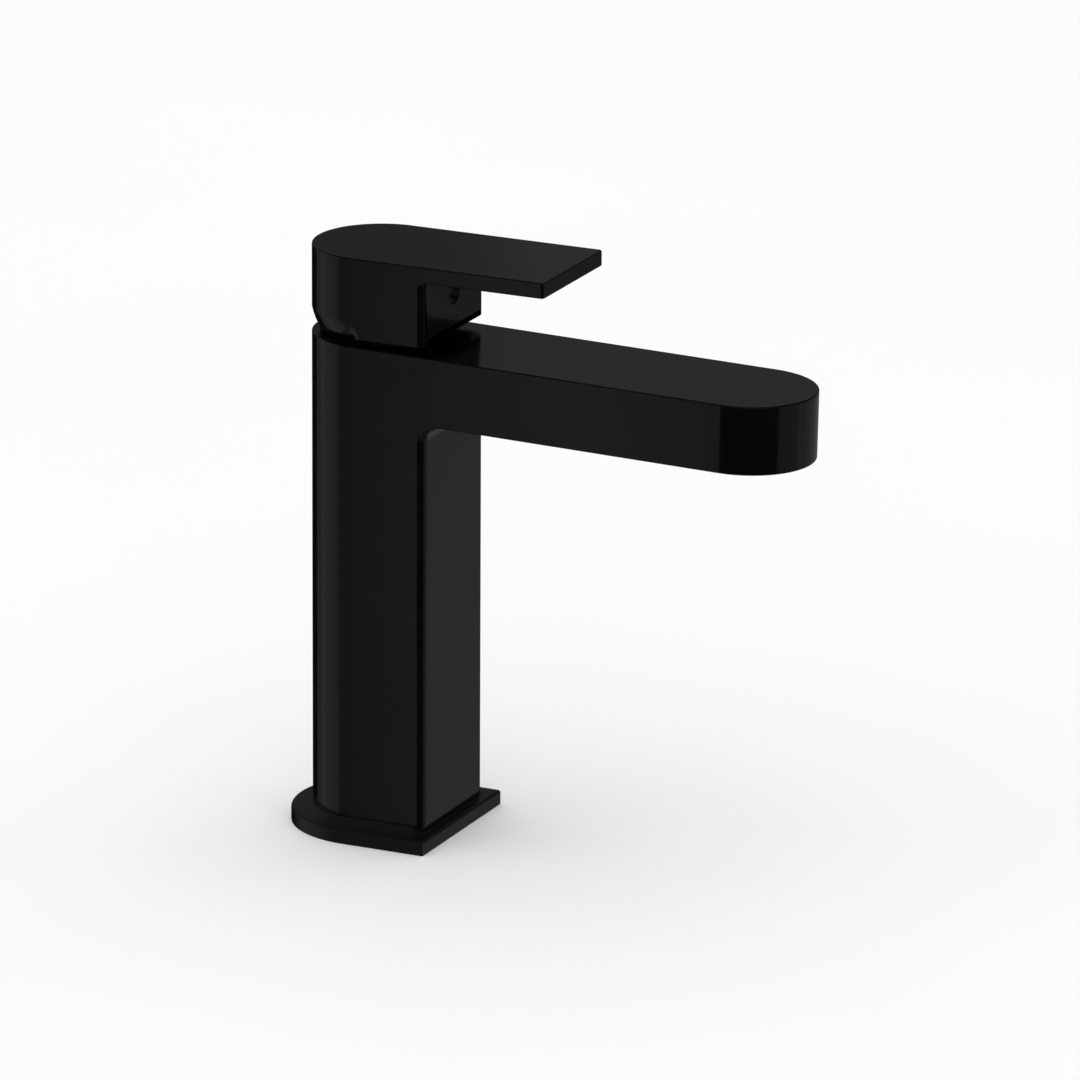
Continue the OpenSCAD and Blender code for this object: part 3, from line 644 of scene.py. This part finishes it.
makeHandle()
print("handle done")


# The plug over the grub screw, with a dished face
plug = {"faceX": 22.8, "r": 3.13, "length": 5.8, "dish": 1.2, "dishIn": 0.55, "dishRows": 8, "edge": 0.3}


def makePlug():
    p, z, x, r, rows = plug, grip["screwZ"], plug["faceX"], plug["r"], plug["dishRows"]
    dish = [(x - p["dish"] * (1 - (i / rows) ** 2), (r - p["dishIn"]) * i / rows) for i in range(rows + 1)]
    bend = p["edge"] * 0.3
    rest = [(x, r - p["edge"]), (x - bend, r - bend), (x - p["edge"], r),
            (x - p["length"], r), (x - p["length"], 0)]
    points = [(along, 0, z + out) for along, out in dish + rest]
    obj = asObject("screwPlug", shape(slotted, points, z, grip["plugDrop"]), plugFinish)
    setNormals(obj, 50)
    handOver(obj, "lever", "black_plastic", "screw_plug")


makePlug()


# The stud and its nut, with a real thread
stud = {"x": 10.5, "r": 3.98, "low": -45.0, "high": 57.0, "pitch": 1.25, "depth": 0.62, "turnSteps": 28,
        "rows": 10, "crest": 0.12, "flank": 1.35, "taper": 0.75, "slotW": 1.2, "slotDeep": 2.0,
        "nutLow": -24.0, "nutHigh": -17.5, "flats": 13.0}


def makeStud():
    s = stud
    bm = bmesh.new()
    a, b = bm.verts.new((s["r"], 0, s["low"])), bm.verts.new((s["r"], 0, s["high"]))
    cuts = int((s["high"] - s["low"]) / s["pitch"] * s["rows"])
    bmesh.ops.subdivide_edges(bm, edges=[bm.edges.new((a, b))], cuts=cuts)
    bmesh.ops.spin(bm, geom=bm.verts[:] + bm.edges[:], cent=(0, 0, 0), axis=(0, 0, 1), dvec=(0, 0, 0),
                   angle=2 * math.pi, steps=s["turnSteps"], use_merge=True)
    bmesh.ops.holes_fill(bm, edges=[e for e in bm.edges if e.is_boundary], sides=0)
    for v in bm.verts:
        turn = (v.co.z / s["pitch"] - math.atan2(v.co.y, v.co.x) / (2 * math.pi)) % 1.0
        groove = min(1.0, max(0.0, (abs(turn - 0.5) * 2 - s["crest"]) * s["flank"]))
        lead = min(v.co.z - s["low"], s["high"] - v.co.z)
        taper = max(0.0, 1.0 - lead) * s["taper"]  # a lead-in at both ends
        r = s["r"] - min(s["depth"] + 0.25, s["depth"] * groove * min(1.0, lead) + taper)
        v.co.x, v.co.y = v.co.x * r / s["r"], v.co.y * r / s["r"]
    bmesh.ops.translate(bm, vec=(s["x"], 0, 0), verts=bm.verts[:])
    obj = asObject("fixingStud", bm, turnedMetal("studBrass", brassDeep, brassPale, 0.34, (s["x"], 0.0), 0.3))
    slot, deep = s["slotW"] / 2, s["low"] + s["slotDeep"]
    carve(obj, [shape(block, (s["x"] - slot, -10, s["low"] - 1), (s["x"] + slot, 10, deep))])
    obj.data.shade_smooth()
    obj.data.set_sharp_from_angle(angle=math.radians(38))
    handOver(obj, "faucet_body", "brass", "fixing_stud")


def makeNut():
    s = stud
    corner = s["flats"] / math.sqrt(3)
    obj = asObject("fixingNut", shape(drum, corner, s["nutLow"], s["nutHigh"], s["x"], segments=6),
                   turnedMetal("fixingBrass", brassDeep, brassPale, 0.3, (s["x"], 0.0)))
    flat = s["flats"] / 2 - 0.25
    lift = (corner - flat) * math.tan(math.radians(30))
    low, high = s["nutLow"], s["nutHigh"]
    outside = [(0, low), (flat, low), (corner, low + lift), (corner, high - lift), (flat, high), (0, high)]
    inside = [(0, low - 1), (5.2, low - 1), (4.02, low + 0.45),
              (4.02, high - 0.45), (5.2, high + 1), (0, high + 1)]
    for profile, operation, segments in ((outside, "INTERSECT", 96), (inside, "DIFFERENCE", 48)):
        points = [(s["x"] + r, 0, z) for r, z in profile]
        carve(obj, [shape(spun, points, centre=(s["x"], 0, 0), segments=segments)], operation)
    setNormals(obj, 20)
    handOver(obj, "faucet_body", "brass", "fixing_nut")


makeStud()
makeNut()
print("fixing done")


# Floor, light and camera
studio = {"floorTone": 0.92, "floorSpan": 14.0, "skyTone": 1.05, "skyGloss": 0.006,
          "topPanel": (1.9, 1.6, 0.2), "lowPanel": (-1.6, 2.6, 0.11)}  # height, side and brightness


def makeFloor():
    bm = bmesh.new()
    bmesh.ops.create_grid(bm, x_segments=2, y_segments=2, size=studio["floorSpan"] / 2)
    bmesh.ops.translate(bm, vec=(0, 0, -0.00005), verts=bm.verts[:])
    mesh = bpy.data.meshes.new("floor")
    bm.to_mesh(mesh)
    bm.free()
    floor = bpy.data.objects.new("floor", mesh)
    scene.collection.objects.link(floor)
    f = Finish("paleFloor")
    cloud = f.noise(260.0, 2.0)
    tone = studio["floorTone"]
    f.shade(f.blend(cloud, (tone - 0.01,) * 3, (tone + 0.01,) * 3), 0.7 + (cloud - 0.5) * 0.1, ior=1.3)
    mesh.materials.append(f.material)
    floor.visible_glossy = False  # the black stays deep


def makeSky():
    world = bpy.data.worlds.new("studio")
    scene.world = world
    f = Finish("studio", world)
    glossy = f.node("LightPath", out="Is Glossy Ray")
    strength = studio["skyTone"] + glossy * (studio["skyGloss"] - studio["skyTone"])
    shader = f.node("Background", None, {"Color": (1, 1, 1), "Strength": strength})
    f.node("OutputWorld", None, {"Surface": shader})


# Each upright panel: its azimuths from +X, distance, heights and brightness
panels = {
    "leftPanel": (-199.0, -111.2, 1.5, -1.6, 1.0, 0.118),
    "leftStrip": (-184.0, -142.0, 1.48, -1.4, 0.9, 0.13),
    "sideStrip": (-115.5, -110.4, 1.47, -1.2, 0.5, 0.2),
    "rightLow": (27.0, 112.0, 1.55, -1.8, -0.30, 0.175),
    "rightHigh": (-10.0, 112.0, 1.56, -0.30, -0.02, 0.08),
    "tipPanel": (-14.0, 29.0, 1.5, -1.4, 0.3, 0.15),
    "backPanel": (60.0, 164.0, 1.8, 0.12, 3.0, 0.066),
    "backStrip": (107.5, 115.2, 1.7, 0.12, 1.6, 0.034),
    "frontHigh": (-108.0, -18.0, 1.6, -0.10, 1.2, 0.12),
    "frontLow": (-108.0, -18.0, 1.6, -2.0, -0.72, 0.12)}


def makePanels():
    middle = Vector((0.04, 0, 0))
    for name, (start, end, distance, low, high, tone) in panels.items():
        half = math.radians(end - start) / 2
        out = Vector((math.cos(math.radians(start) + half), math.sin(math.radians(start) + half), 0))
        addPanel(name, middle + Vector((0, 0, (low + high) / 2)) + out * distance, out,
                 2 * distance * math.tan(half), high - low, tone)
    for name in ("topPanel", "lowPanel"):
        height, side, tone = studio[name]
        place, out = Vector((0, 0, height)), Vector((0, 0, math.copysign(1, height)))
        addPanel(name, middle + place, out, side, side, tone)


def addPanel(name, place, out, width, tall, tone):
    data = bpy.data.lights.new(name, "AREA")
    data.shape, data.size, data.size_y = "RECTANGLE", width, tall
    data.energy = tone * math.pi * width * tall
    light = bpy.data.objects.new(name, data)
    scene.collection.objects.link(light)
    light.location = place
    light.rotation_mode = "QUATERNION"
    light.rotation_quaternion = out.to_track_quat("Z", "Y")
    light.visible_camera = False


shot = {"azimuth": 25.87, "elevation": 17.31, "distance": 2.897, "lens": 334.5, "height": 0.0762,
        "across": 0.0457, "above": 0.0079}


def makeCamera():
    a, e = math.radians(shot["azimuth"]), math.radians(shot["elevation"])
    back = Vector((math.sin(a) * math.cos(e), -math.cos(a) * math.cos(e), math.sin(e)))
    right = Vector((math.cos(a), math.sin(a), 0))
    up = back.cross(right)
    middle = Vector((0, 0, shot["height"]))
    eye = middle + back * shot["distance"]
    away = (eye - middle - right * shot["across"] - up * shot["above"]).normalized()
    across = up.cross(away).normalized()
    data = bpy.data.cameras.new("camera")
    data.lens, data.sensor_width = shot["lens"], 36.0
    camera = bpy.data.objects.new("camera", data)
    scene.collection.objects.link(camera)
    turned = Matrix((across, away.cross(across), away)).transposed().to_4x4()
    camera.matrix_world = Matrix.Translation(eye) @ turned
    scene.camera = camera


makeFloor()
makeSky()
makePanels()
makeCamera()
scene.view_settings.view_transform = "Standard"
print("studio done")
